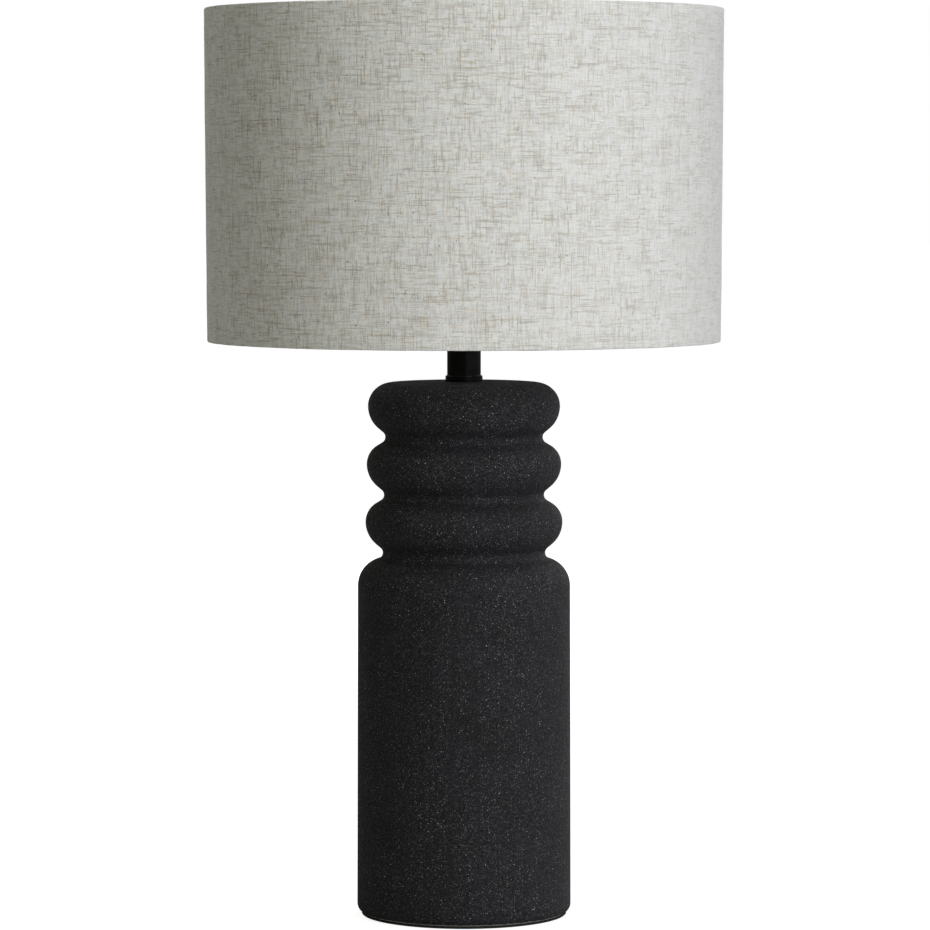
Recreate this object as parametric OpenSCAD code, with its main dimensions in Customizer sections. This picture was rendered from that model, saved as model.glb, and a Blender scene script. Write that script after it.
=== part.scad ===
// Table lamp: a slip-cast ceramic base with a ribbed neck, a threaded rod with an
// E26 turn-knob socket, a detachable harp, and a drum shade on a three-arm spider.
// Millimetres, +Z up, front towards -Y. The origin is the centre of the underside.

/* [Ceramic body] */
// Diameter of the body just above its foot
body_d = 148.2; // [140:0.2:156]
// Diameter of the body just under its shoulder
body_top_d = 147; // [140:0.2:154]
// Radius that rounds the lower edge of the foot
foot_r = 6; // [3:0.5:7]
// Radius that rounds the shoulder
shoulder_r = 19; // [16:0.5:22]
// Thickness of the slip-cast wall
wall_t = 6.5; // [5:0.5:8]
// Width of the ring that the body stands on
foot_ring_w = 13; // [11:0.5:18]
// Depth of the recess under the body
recess_h = 20; // [18:0.5:30]

/* [Ribbed neck] */
// Number of ribs above the shoulder
rib_count = 3; // [2:1:4]
// Height of the lowest groove above the table
groove_z = 251.2; // [220:0.2:280]
// Height from one groove to the next
rib_pitch = 40; // [37:0.1:43]
// Height from a groove up to the widest place of the rib over it
rib_rise = 21.4; // [20:0.1:22.5]
// Diameter at the bottom of the lowest groove
groove_d = 112.4; // [106:0.2:116]
// How much narrower each groove is than the one below
groove_step = 1.8; // [0:0.02:3]
// Radius of the concave fillet in each groove
groove_r = 4.5; // [3.5:0.1:5.5]
// Slope of the ribs' flanks, as a share of the steepest that fits between rib and groove
flank_share = 0.85; // [0.75:0.01:0.95]
// Diameter of the lowest rib
rib_d = 136.2; // [130:0.2:140]
// How much narrower each rib is than the one below
rib_step = 1.76; // [0:0.02:3]
// Radius that rounds the top rib over into the crown
rim_r = 16.3; // [14:0.1:18]
// Rise of the shallow crown above its rim
crown_rise = 0.7; // [0.3:0.1:2]

/* [Pad and cord inlet] */
// Diameter of the pad under the foot
pad_d = 142; // [134:0.5:144]
// Thickness of the pad
pad_t = 1.2; // [0.8:0.1:3.5]
// Height of the cord inlet above the table
inlet_z = 14.2; // [13.7:0.1:14.7]
// Bore of the cord inlet's bushing
inlet_bore = 6.6; // [5:0.1:7]
// Wall of the bushing's sleeve
bushing_wall = 1.2; // [0.8:0.1:1.4]
// How far the bushing's flange and lip reach beyond the sleeve
bushing_lip = 0.9; // [0.6:0.1:1.2]
// Thickness of the bushing's flange
bushing_flange_t = 1.6; // [1:0.1:2.5]

/* [Threaded rod] */
// Diameter of the rod over its thread
rod_d = 10.3; // [9.5:0.1:10.8]
// Bore of the rod that takes the cord
rod_bore = 6.9; // [5.5:0.1:7.4]
// Length of rod that stands below the bottom nut
rod_tail = 3; // [1:0.5:5]
// Size of the hexagon nuts across their flats
nut_af = 14.3; // [13.5:0.1:16]
// Thickness of the hexagon nuts
nut_h = 3.2; // [2.5:0.1:4]
// Diameter of the washer under the body's floor
washer_d = 38; // [30:1:50]
// Thickness of that washer
washer_t = 1.6; // [1:0.1:3]

/* [Neck tube] */
// Diameter of the neck tube
neck_d = 23.3; // [19:0.1:26]
// Wall of the neck tube
neck_wall = 1.2; // [0.8:0.1:2]
// Length of the neck tube
neck_len = 31.1; // [26:0.1:50]
// How much the collar stands out round the tube
collar_lip = 1.1; // [0.8:0.1:3]
// Height of the collar
collar_h = 4.3; // [3.5:0.1:8]
// Thickness of the collar's floor and of the seat ring on top of the tube
ring_t = 1.2; // [1:0.1:2]
// Depth of the spigot that centres the seat ring in the tube
spigot_h = 2.5; // [1.5:0.1:5]

/* [Harp] */
// Height from the saddle to the shade's seat
harp_h = 203.2; // [178:0.1:254]
// Width of the harp over its sides
harp_w = 112; // [100:0.5:130]
// Diameter of the harp's wire
harp_wire_d = 4; // [3.2:0.1:4.4]
// Distance between the harp's legs
leg_gap = 57; // [54:0.5:62]
// Height above the saddle at which the legs start to spread
leg_h = 38; // [36:0.5:42]
// Angle at which the legs spread
leg_spread = 25; // [20:1:30]
// Radius of the bend where the legs start to spread
leg_bend_r = 18; // [12:1:24]
// Radius of the bend where the spread turns into the upright sides
side_bend_r = 50; // [40:1:55]
// Half length of the flat on top of the harp
top_flat = 10; // [9:0.5:14]

/* [Saddle and ferrules] */
// Thickness of the saddle's strip
saddle_t = 1.6; // [1.2:0.1:2]
// Width of the saddle round the rod
saddle_w = 17; // [15:0.5:20]
// Width of the saddle's upturned ends
tongue_w = 7.5; // [7:0.1:8.5]
// Outer radius of the saddle's bends
saddle_bend_r = 5; // [4:0.1:5.5]
// Height of the rolled sockets that hold the legs
socket_h = 12; // [10:0.5:14]
// Length of the ferrules
ferrule_len = 16; // [15.5:0.5:18]
// Wall of the ferrules
ferrule_wall = 0.8; // [0.5:0.1:1.2]

/* [Harp top and finial] */
// Diameter of the boss in the middle of the harp's top
boss_d = 16; // [13:0.5:17]
// How much thicker the boss is than the wire
boss_extra = 0.6; // [0.4:0.1:1.5]
// Diameter of the disc that the shade rests on
disc_d = 19; // [17:0.5:20]
// Thickness of that disc
disc_t = 1.6; // [1.2:0.1:2.5]
// Diameter of the threaded stud
stud_d = 6.2; // [5.5:0.1:6.6]
// Height of the stud above the shade's seat
stud_h = 12; // [9:0.5:13]
// Diameter of the finial's foot
finial_foot_d = 15; // [13:0.5:17]
// Diameter of the finial's ball
finial_ball_d = 14; // [12:0.5:16]
// Height of the finial
finial_h = 16.5; // [16:0.1:19]

/* [Shade] */
// Outer diameter of the shade at its top
shade_top_d = 357; // [300:1:420]
// Outer diameter of the shade at its bottom
shade_bottom_d = 354; // [300:1:420]
// Height of the shade
shade_h = 228.4; // [180:0.2:260]
// Depth of the spider's seat below the shade's top edge
spider_recess = 19.5; // [17:0.5:40]
// Number of spider arms
spider_arms = 3; // [2:1:4]
// Diameter of the spider's wire
arm_wire_d = 2.8; // [2.2:0.1:3]
// Diameter of the two rings' wire
ring_wire_d = 3.2; // [3.1:0.1:4]
// Radius of the bend at the end of each arm
arm_bend_r = 8; // [5:0.5:10]
// Diameter of the spider's washer
hub_d = 26; // [23:0.5:32]
// Diameter of the hole in the spider's washer
hub_hole_d = 11; // [9:0.1:12]
// Thickness of the spider's washer
hub_t = 2; // [1.2:0.1:2.5]
// Thickness of the shade's cloth
cloth_t = 0.8; // [0.5:0.1:1]
// Thickness of the stiff lining behind the cloth
lining_t = 0.5; // [0.3:0.1:1]
// Length of the cloth that is turned in over each ring
hem_len = 8; // [6:0.5:12]

/* [Socket] */
// Outer diameter of the socket's cap
cap_d = 33.6; // [32:0.1:36]
// Height of the cap
cap_h = 20; // [18:0.5:21]
// Height of the threaded hub under the cap's bowl
hub_drop = 5; // [4:0.5:6]
// Thickness of the cap and shell metal
sheet_t = 0.7; // [0.5:0.1:1]
// Height of the shell above the cap's rim
shell_h = 38; // [34:0.5:42]
// How far the shell plugs into the cap
shell_plug = 6; // [4:0.5:7]
// Thickness of the insulating sleeve
sleeve_t = 0.7; // [0.4:0.1:0.9]
// Height of the switch block
block_h = 22; // [20:0.5:24]
// Diameter of the switch shaft
shaft_d = 4.8; // [4:0.1:5.2]
// Length of the turn knob
knob_len = 16; // [12:0.5:22]
// Width of the knob's paddle
knob_w = 17; // [12:0.5:22]
// Thickness of the knob's paddle
knob_t = 5.4; // [4:0.2:6]

/* [Bulb] */
// Diameter of the bulb
bulb_d = 60; // [50:1:68]
// Overall length of the bulb
bulb_l = 108; // [100:1:115]
// Diameter of the bulb's screw cap
bulb_cap_d = 25.9; // [25:0.1:26.5]
// Length of the bulb's screw cap with its contact
bulb_cap_l = 24.5; // [23:0.5:26]
// Diameter of the bulb's neck over its screw cap
bulb_neck_d = 28; // [27:0.5:32]
// Wall of the bulb's globe and housing
bulb_wall = 1.3; // [0.8:0.1:2]

/* [Fits] */
// Radial clearance of a shaft that turns in its bore
running_fit = 0.05; // [0.03:0.01:0.1]
// Clearance of pieces that slide or plug together
slide_fit = 0.1; // [0.08:0.01:0.15]
// Radial clearance of a rod or screw through a plain hole
loose_fit = 0.3; // [0.2:0.05:0.5]

/* [Hidden] */
$fn = 96;

// Greatest distance between an arc and the chords that stand in for it
arc_tolerance = 0.02;
// Length by which a cut runs past the faces that it opens
over = 1;
// Length by which straight wire runs into the bends at its ends
wire_lap = 0.3;
// Bent wire is stretched, and comes out this much thinner
bend_thinning = 0.04;

// Heights of the ceramic base
floor_z = pad_t + recess_h;
cavity_z = floor_z + wall_t;
top_rib_z = groove_z + (rib_count - 1) * rib_pitch + rib_rise;
crown_z = top_rib_z + rim_r + crown_rise;

// Heights of what is stacked on the crown
neck_z = crown_z + ring_t;
neck_top_z = neck_z + neck_len;
saddle_z = neck_top_z + ring_t;
saddle_nut_z = saddle_z + saddle_t;
cap_z = saddle_nut_z + nut_h;
cap_rim_z = cap_z + cap_h;
seat_z = saddle_z + harp_h;
shade_top_z = seat_z + spider_recess;
shade_z = shade_top_z - shade_h;

// Threaded rod
rod_hole_r = rod_d / 2 + loose_fit;
thread_r = rod_d / 2 + running_fit;
bottom_nut_z = floor_z - washer_t - nut_h;
rod_z = bottom_nut_z - rod_tail;
hub_h = hub_drop + 5;
set_screw_r = 1.5;
rod_top_z = cap_z + hub_h - 2;

// Cord inlet
bushing_r = inlet_bore / 2 + bushing_wall;
bushing_flange_r = bushing_r + bushing_lip;
recess_r = body_d / 2 - foot_ring_w;
recess_corner_r = 1.5;
bushing_lip_t = 1.5;

// Saddle and harp legs
leg_x = leg_gap / 2;
wire_r = harp_wire_d / 2;
leg_hole_r = wire_r + slide_fit;
rolled_r = leg_hole_r + saddle_t;
tongue_x = leg_x + rolled_r - 0.15;
socket_z = saddle_z + saddle_bend_r + 1;
leg_end_z = socket_z + 1 + wire_lap;
bead_z = socket_z + socket_h;
bead_r = rolled_r - 0.2;
bead_h = 2.4;
ferrule_r = rolled_r + slide_fit;
ferrule_neck_t = 1;

// Harp
side_x = harp_w / 2 - wire_r;
boss_t = harp_wire_d + boss_extra;
boss_top_z = seat_z - disc_t - running_fit;
harp_top_z = boss_top_z - boss_t / 2;
top_bend_r = side_x - top_flat;
pin_r = stud_d / 2 - 0.5;
rivet_r = pin_r + 1.9;
rivet_h = 1.6;

// Shade
top_r = shade_top_d / 2;
bottom_r = shade_bottom_d / 2;
edge_r = cloth_t + 0.2;
fold_r = cloth_t + 0.8;
cloth_gap = 0.05;
ring_gap = 0.12;
lining_inset = cloth_t + cloth_gap + lining_t;
ring_inset = lining_inset + ring_gap + ring_wire_d / 2;
fold_w = ring_inset + ring_wire_d / 2 + ring_gap + cloth_t;
ring_drop = cloth_t + ring_gap + ring_wire_d / 2;
arm_z = seat_z + arm_wire_d / 2 + 0.1;

// Socket
shell_r = cap_d / 2 - sheet_t - slide_fit;
shell_z = cap_rim_z - shell_plug;
shell_top_z = cap_rim_z + shell_h;
sleeve_r = shell_r - sheet_t - slide_fit;
block_r = sleeve_r - sleeve_t - slide_fit;
block_z = cap_z + hub_h + 2;
block_top_z = block_z + block_h;
shaft_z = cap_rim_z + shaft_d / 2 + 2;
shaft_depth = block_r - 4;
notch_w = shaft_d + 3;
notch_top_z = shaft_z + shaft_d / 2 + 1.5;
screw_shell_t = 0.4;
screw_shell_r = bulb_cap_d / 2 + loose_fit + screw_shell_t;
screw_shell_hole_r = 7.5;
contact_t = 0.6;
contact_rise = 3;
terminal_z = block_z + block_h * 0.3;
terminal_flat = block_r - 3.2;
terminal_screw_r = 1.7;
knob_start = cap_d / 2 + 1.8;
knob_hub_r = shaft_d / 2 + 2;

// Bulb
bulb_z = block_top_z + screw_shell_t + contact_rise + loose_fit;
bulb_r = bulb_d / 2;
bulb_centre_z = bulb_z + bulb_l - bulb_r;
neck_r = bulb_neck_d / 2;
neck_base_z = bulb_z + bulb_cap_l;
neck_drop = bulb_centre_z - neck_base_z;
waist_r = (neck_r * neck_r + neck_drop * neck_drop - bulb_r * bulb_r) / (2 * (bulb_r - neck_r));
waist_angle = atan2(-neck_drop, neck_r + waist_r);
seam_z = bulb_centre_z + bulb_r * sin(waist_angle);
seam_r = bulb_r * cos(waist_angle);
waist_c = [neck_r + waist_r, neck_base_z];
contact_h = 1.2;
insulator_r = 9.5;
insulator_h = 3.4;

// Colours
charcoal = [0.14, 0.14, 0.15];
gloss_black = [0.04, 0.04, 0.045];
steel = [0.72, 0.72, 0.7];
brass = [0.78, 0.62, 0.32];
oatmeal = [0.8, 0.79, 0.75];
phenolic = [0.09, 0.08, 0.08];

// ---- Outlines ----

// Points along an arc about c, from angle a to angle b
function arc(c, r, a, b) =
    let (step = 2 * acos(1 - min(0.5, arc_tolerance / r)))
    let (n = max(2, ceil(abs(b - a) / step)))
    [for (i = [0:n]) c + r * [cos(a + (b - a) * i / n), sin(a + (b - a) * i / n)]];

// Angle of the direction from point p to point q
function bearing(p, q) = atan2(q[1] - p[1], q[0] - p[0]);

// A list of lists as one list
function join(lists) = [for (l = lists) each l];

// Rib i, counted from the shoulder: radius and height of its widest place
function rib_radius(i) = (rib_d - i * rib_step) / 2;
function rib_z(i) = groove_z + i * rib_pitch + rib_rise;

// Centre of the fillet in groove i
function fillet_centre(i) =
    [(groove_d - i * groove_step) / 2 + groove_r, groove_z + i * rib_pitch];

// How far rib i's widest place stands out from the groove whose fillet is centred on f
function rib_out(i, f) = rib_radius(i) - f[0] + groove_r;

// Angle from upright of the straight flank between them
function flank_a(i, f) = 2 * flank_share * atan(rib_out(i, f) / abs(rib_z(i) - f[1]));

// Radius of the rib's arc, which that flank joins to the fillet
function rib_arc_r(i, f) =
    let (a = flank_a(i, f))
    (abs(rib_z(i) - f[1]) * tan(a) - rib_out(i, f)) / (1 / cos(a) - 1) - groove_r;

// The rib's arc from angle a0 to angle a1, moved inwards by t
function rib_arc(i, f, t, a0, a1) =
    let (r = rib_arc_r(i, f))
    arc([rib_radius(i) - r, rib_z(i)], r - t, a0, a1);

// Shoulder's arc: it ends tangent to the lowest fillet
shoulder_x = body_top_d / 2 - shoulder_r;
shoulder_dx = fillet_centre(0)[0] - shoulder_x;
shoulder_reach = shoulder_r + groove_r;
shoulder_z = groove_z - sqrt(shoulder_reach * shoulder_reach - shoulder_dx * shoulder_dx);
shoulder_centre = [shoulder_x, shoulder_z];

// Crown's arc: it starts tangent to the rim and is level on the axis
rim_centre = [rib_radius(rib_count - 1) - rim_r, top_rib_z];
apex_h = rim_r + crown_rise;
crown_r = (rim_centre[0] * rim_centre[0] + apex_h * apex_h - rim_r * rim_r) / (2 * crown_rise);
crown_centre = [0, crown_z - crown_r];

// One groove's fillet and the lower half of the rib over it
function groove_and_rib(i, t) =
    let (f = fillet_centre(i), above_a = flank_a(i, f))
    let (below_a = i == 0 ? 180 + bearing(f, shoulder_centre) : flank_a(i - 1, f))
    join([
        arc(f, groove_r + t, 180 + below_a, 180 - above_a),
        rib_arc(i, f, t, -above_a, 0)
    ]);

// Upper half of rib i, up to the next groove
function rib_top(i, t) =
    let (f = fillet_centre(i + 1))
    rib_arc(i, f, t, 0, flank_a(i, f));

// The body's outline from the shoulder to the axis, moved inwards by t
function neck_outline(t) = join([
    arc(shoulder_centre, shoulder_r - t, 0, bearing(shoulder_centre, fillet_centre(0))),
    for (i = [0:rib_count - 1]) join([
        groove_and_rib(i, t),
        i < rib_count - 1 ? rib_top(i, t) : []
    ]),
    arc(rim_centre, rim_r - t, 0, bearing(crown_centre, rim_centre)),
    arc(crown_centre, crown_r - t, bearing(crown_centre, rim_centre), 90)
]);

// A rectangle with round corners, centred on the origin
function round_rect(w, h, r) = join([
    arc([w / 2 - r, h / 2 - r], r, 0, 90),
    arc([r - w / 2, h / 2 - r], r, 90, 180),
    arc([r - w / 2, r - h / 2], r, 180, 270),
    arc([w / 2 - r, r - h / 2], r, 270, 360)
]);

module lathe(points) {
    rotate_extrude() polygon(points);
}

// A ring or disc of outer radius r and inner radius bore, from z up to z + h
module ring(r, bore, z, h) {
    translate([0, 0, z])
    difference() {
        cylinder(r = r, h = h);
        translate([0, 0, -over]) cylinder(r = bore, h = h + 2 * over);
    }
}

// Wire bent in the XZ plane about c, from angle a to angle b
module elbow(c, r, a, b, wire_d) {
    translate([c[0], 0, c[1]])
    rotate([90, 0, 0])
    rotate([0, 0, a])
    rotate_extrude(angle = b - a)
    translate([r, 0]) circle(d = wire_d - bend_thinning);
}

// Straight wire in the XZ plane from p to q, lapped at both ends
module strut(p, q, wire_d) {
    translate([p[0], 0, p[1]])
    rotate([0, 90 - bearing(p, q), 0])
    translate([0, 0, -wire_lap])
    cylinder(d = wire_d, h = norm(q - p) + 2 * wire_lap);
}

// Hexagon nut with chamfered corners, its underside at z
module nut(z) {
    corner_r = nut_af / sqrt(3);
    chamfer = corner_r - nut_af / 2;
    translate([0, 0, z])
    difference() {
        intersection() {
            cylinder(r = corner_r, h = nut_h, $fn = 6);
            lathe([
                [0, 0], [nut_af / 2, 0], [corner_r, chamfer / 2],
                [corner_r, nut_h - chamfer / 2], [nut_af / 2, nut_h], [0, nut_h]
            ]);
        }
        translate([0, 0, -over]) cylinder(r = thread_r, h = nut_h + 2 * over);
    }
}

// A cylinder along +Y from y to y + h, at height z
module along_y(r, y, z, h) {
    translate([0, y, z]) rotate([-90, 0, 0]) cylinder(r = r, h = h);
}

// ---- Base ----

module ceramic_base() {
    body_r = body_d / 2;
    cavity_corner_r = 8;
    color(charcoal)
    difference() {
        lathe(join([
            [[0, pad_t]],
            arc([body_r - foot_r, pad_t + foot_r], foot_r, -90, 0),
            neck_outline(0)
        ]));
        lathe(join([
            [[0, cavity_z]],
            arc(
                [body_r - wall_t - cavity_corner_r, cavity_z + cavity_corner_r],
                cavity_corner_r, -90, 0
            ),
            neck_outline(wall_t)
        ]));
        lathe(join([
            [[0, pad_t - over], [recess_r, pad_t - over]],
            arc([recess_r - recess_corner_r, floor_z - recess_corner_r], recess_corner_r, 0, 90),
            [[0, floor_z]]
        ]));
        translate([0, 0, floor_z - over]) cylinder(r = rod_hole_r, h = wall_t + 2 * over);
        translate([0, 0, crown_z - 2 * wall_t]) cylinder(r = rod_hole_r, h = 3 * wall_t);
        along_y(bushing_r + slide_fit, recess_r - 2 * over, inlet_z, foot_ring_w + 3 * over);
    }
}

module base_pad() {
    edge = 0.4;
    pad_r = pad_d / 2;
    color(gloss_black)
    lathe([[0, 0], [pad_r - edge, 0], [pad_r, edge], [pad_r, pad_t], [0, pad_t]]);
}

module cord_bushing() {
    inner_y = recess_r - bushing_lip_t - 0.4;
    outer_y = body_d / 2 + bushing_flange_t;
    color(phenolic)
    difference() {
        union() {
            along_y(bushing_r, inner_y, inlet_z, outer_y - inner_y);
            along_y(bushing_r + bushing_lip / 2, inner_y, inlet_z, bushing_lip_t);
            difference() {
                along_y(bushing_flange_r, body_d / 2 - 2, inlet_z, bushing_flange_t + 2);
                cylinder(r = body_d / 2, h = floor_z + over);
            }
        }
        along_y(inlet_bore / 2, inner_y - over, inlet_z, outer_y - inner_y + 2 * over);
    }
}

module bottom_washer() {
    color(steel) ring(washer_d / 2, rod_hole_r, floor_z - washer_t, washer_t);
}

module bottom_nut() {
    color(steel) nut(bottom_nut_z);
}

module threaded_rod() {
    color(steel) ring(rod_d / 2, rod_bore / 2, rod_z, rod_top_z - rod_z);
}

// ---- Neck ----

module neck_collar() {
    tube_seat_r = neck_d / 2 + slide_fit;
    collar_r = tube_seat_r + collar_lip;
    chamfer = collar_lip / 2;
    color(gloss_black)
    translate([0, 0, crown_z])
    lathe([
        [rod_hole_r, 0], [collar_r, 0], [collar_r, collar_h - chamfer],
        [collar_r - chamfer, collar_h], [tube_seat_r, collar_h],
        [tube_seat_r, ring_t], [rod_hole_r, ring_t]
    ]);
}

module neck_tube() {
    color(gloss_black) ring(neck_d / 2, neck_d / 2 - neck_wall, neck_z, neck_len);
}

module neck_seat_ring() {
    spigot_r = neck_d / 2 - neck_wall - slide_fit;
    spigot_wall = 1.5;
    color(gloss_black)
    translate([0, 0, neck_top_z])
    lathe([
        [rod_hole_r, 0], [spigot_r - spigot_wall, 0], [spigot_r - spigot_wall, -spigot_h],
        [spigot_r, -spigot_h], [spigot_r, 0], [neck_d / 2, 0],
        [neck_d / 2, ring_t], [rod_hole_r, ring_t]
    ]);
}

// ---- Harp saddle ----

// The upturned end of the saddle: a bend, a tongue and a socket rolled from it
module saddle_end() {
    bend_x = tongue_x - saddle_bend_r;
    translate([bend_x, 0, saddle_z + saddle_bend_r])
    rotate([90, 0, 0])
    rotate([0, 0, -90])
    rotate_extrude(angle = 90)
    translate([saddle_bend_r - saddle_t, -tongue_w / 2]) square([saddle_t, tongue_w]);
    translate([tongue_x - saddle_t, -tongue_w / 2, saddle_z + saddle_bend_r])
    cube([saddle_t, tongue_w, socket_z - saddle_z - saddle_bend_r]);
    translate([leg_x, 0, socket_z - 0.5])
    difference() {
        cylinder(r = rolled_r, h = socket_h + 0.5);
        translate([0, 0, -over]) cylinder(r = leg_hole_r, h = socket_h + 2 * over + 0.5);
        translate([-rolled_r - over, -wire_r * 0.8, -over])
        cube([rolled_r + over, wire_r * 1.6, socket_h + 2 * over + 0.5]);
    }
}

module harp_saddle() {
    end_x = tongue_x - saddle_bend_r;
    waist_x = saddle_w / 2;
    color(steel)
    difference() {
        union() {
            translate([0, 0, saddle_z])
            linear_extrude(saddle_t)
            polygon([
                [-end_x, -tongue_w / 2], [-waist_x, -saddle_w / 2], [waist_x, -saddle_w / 2],
                [end_x, -tongue_w / 2], [end_x, tongue_w / 2], [waist_x, saddle_w / 2],
                [-waist_x, saddle_w / 2], [-end_x, tongue_w / 2]
            ]);
            saddle_end();
            mirror([1, 0, 0]) saddle_end();
        }
        translate([0, 0, saddle_z - over]) cylinder(r = rod_hole_r, h = saddle_t + 2 * over);
    }
}

module saddle_nut() {
    color(steel) nut(saddle_nut_z);
}

// ---- Harp ----

// One leg and side of the harp, from the saddle's socket to the boss
module harp_side() {
    bend_start = [leg_x, saddle_z + leg_h];
    bend_c = bend_start + [leg_bend_r, 0];
    slope = [sin(leg_spread), cos(leg_spread)];
    bend_end = bend_c - leg_bend_r * [cos(leg_spread), -sin(leg_spread)];
    spread_x = side_x - leg_x - (leg_bend_r + side_bend_r) * (1 - cos(leg_spread));
    spread_end = bend_end + slope * spread_x / sin(leg_spread);
    side_c = spread_end - side_bend_r * [cos(leg_spread), -sin(leg_spread)];
    side_start = side_c + [side_bend_r, 0];
    top_c = [top_flat, harp_top_z - top_bend_r];
    strut([leg_x, leg_end_z], bend_start, harp_wire_d);
    elbow(bend_c, leg_bend_r, 180 - leg_spread, 180, harp_wire_d);
    strut(bend_end, spread_end, harp_wire_d);
    elbow(side_c, side_bend_r, -leg_spread, 0, harp_wire_d);
    strut(side_start, top_c + [top_bend_r, 0], harp_wire_d);
    elbow(top_c, top_bend_r, 0, 90, harp_wire_d);
    strut([top_flat, harp_top_z], [boss_d / 2 - 1, harp_top_z], harp_wire_d);
    translate([leg_x, 0, bead_z]) cylinder(r = bead_r, h = bead_h);
}

module harp() {
    color(steel)
    difference() {
        union() {
            harp_side();
            mirror([1, 0, 0]) harp_side();
            translate([0, 0, boss_top_z - boss_t]) cylinder(d = boss_d, h = boss_t);
        }
        translate([0, 0, boss_top_z - boss_t - over])
        cylinder(r = pin_r + running_fit, h = boss_t + 2 * over);
    }
}

// A sleeve that slides down the leg over the rolled socket and locks the harp
module ferrule(x) {
    outer_r = ferrule_r + ferrule_wall;
    top_chamfer = 0.8;
    color(brass)
    translate([x, 0, socket_z])
    lathe([
        [ferrule_r, 0], [outer_r, 0], [outer_r, ferrule_len - top_chamfer],
        [outer_r - top_chamfer, ferrule_len], [leg_hole_r, ferrule_len],
        [leg_hole_r, ferrule_len - ferrule_neck_t], [ferrule_r, ferrule_len - ferrule_neck_t]
    ]);
}

module ferrule_left() {
    ferrule(-leg_x);
}

module ferrule_right() {
    ferrule(leg_x);
}

module harp_stud() {
    chamfer = 0.7;
    rivet_z = boss_top_z - boss_t - running_fit;
    color(steel)
    lathe([
        [0, rivet_z - rivet_h], [rivet_r - chamfer, rivet_z - rivet_h], [rivet_r, rivet_z - chamfer],
        [rivet_r, rivet_z], [pin_r, rivet_z], [pin_r, seat_z - disc_t],
        [disc_d / 2, seat_z - disc_t], [disc_d / 2, seat_z], [stud_d / 2, seat_z],
        [stud_d / 2, seat_z + stud_h - chamfer], [stud_d / 2 - chamfer, seat_z + stud_h],
        [0, seat_z + stud_h]
    ]);
}

module finial() {
    foot_z = seat_z + hub_t;
    foot_h = 2.4;
    ball_r = finial_ball_d / 2;
    ball_c = [0, foot_z + finial_h - ball_r];
    waist = stud_d / 2 + 1.4;
    bore_h = stud_h - hub_t + 1;
    color(gloss_black)
    difference() {
        lathe(join([
            [[0, foot_z]],
            arc([finial_foot_d / 2 - 0.5, foot_z + 0.5], 0.5, -90, 0),
            arc([finial_foot_d / 2 - 0.9, foot_z + foot_h - 0.9], 0.9, 0, 90),
            [[waist, foot_z + foot_h]],
            arc(ball_c, ball_r, -acos(waist / ball_r), 90)
        ]));
        translate([0, 0, foot_z - over]) cylinder(r = stud_d / 2 + running_fit, h = bore_h + over);
    }
}

// ---- Shade ----

// The ring of wire inside the shade's edge at height z
module shade_wire(r, z) {
    translate([0, 0, z])
    rotate_extrude()
    translate([r - ring_inset, 0]) circle(d = ring_wire_d);
}

// One spider arm: out from the washer, then up to the top ring
module spider_arm() {
    end_r = top_r - ring_inset;
    bend_c = [end_r - arm_bend_r, arm_z + arm_bend_r];
    strut([(hub_d + disc_d) / 4, arm_z], [bend_c[0], arm_z], arm_wire_d);
    elbow(bend_c, arm_bend_r, -90, 0, arm_wire_d);
    strut([end_r, bend_c[1]], [end_r, shade_top_z - ring_drop], arm_wire_d);
}

module shade_spider() {
    color(steel) {
        ring(hub_d / 2, hub_hole_d / 2, seat_z, hub_t);
        for (i = [0:spider_arms - 1])
            rotate([0, 0, 90 + i * 360 / spider_arms]) spider_arm();
        shade_wire(top_r, shade_top_z - ring_drop);
    }
}

module shade_bottom_ring() {
    color(steel) shade_wire(bottom_r, shade_z + ring_drop);
}

module shade_lining() {
    outer = cloth_t + cloth_gap;
    edge = cloth_t + 0.2;
    color("white")
    lathe([
        [bottom_r - lining_inset, shade_z + edge], [bottom_r - outer, shade_z + edge],
        [top_r - outer, shade_top_z - edge], [top_r - lining_inset, shade_top_z - edge]
    ]);
}

// The cloth runs up the outside, turns in over both rings and ends inside them
module shade_cloth() {
    low = [bottom_r, shade_z];
    high = [top_r, shade_top_z];
    low_edge = low + [-edge_r, edge_r];
    high_edge = high - [edge_r, edge_r];
    low_fold = low + [fold_r - fold_w, fold_r];
    high_fold = high + [fold_r - fold_w, -fold_r];
    color(oatmeal)
    lathe(join([
        arc(low_edge, edge_r, -90, 0),
        arc(high_edge, edge_r, 0, 90),
        arc(high_fold, fold_r, 90, 180),
        [high - [fold_w, hem_len], high - [fold_w - cloth_t, hem_len]],
        arc(high_fold, fold_r - cloth_t, 180, 90),
        arc(high_edge, edge_r - cloth_t, 90, 0),
        arc(low_edge, edge_r - cloth_t, 0, -90),
        arc(low_fold, fold_r - cloth_t, 270, 180),
        [low + [cloth_t - fold_w, hem_len], low + [-fold_w, hem_len]],
        arc(low_fold, fold_r, 180, 270)
    ]));
}

// ---- Socket ----

module socket_cap() {
    outer_r = cap_d / 2;
    bowl_r = 9;
    hub_r = thread_r + 1.6;
    bowl_c = [outer_r - bowl_r, hub_drop + bowl_r];
    color(brass)
    translate([0, 0, cap_z])
    difference() {
        lathe(join([
            [[thread_r, 0], [hub_r - 0.5, 0], [hub_r, 0.5], [hub_r, hub_drop]],
            arc(bowl_c, bowl_r, -90, 0),
            [[outer_r, cap_h], [outer_r - sheet_t, cap_h]],
            arc(bowl_c, bowl_r - sheet_t, 0, -90),
            [[hub_r, hub_drop + sheet_t], [hub_r, hub_h], [thread_r, hub_h]]
        ]));
        along_y(set_screw_r + running_fit, 0, hub_drop / 2, 2 * hub_r);
    }
}

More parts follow.
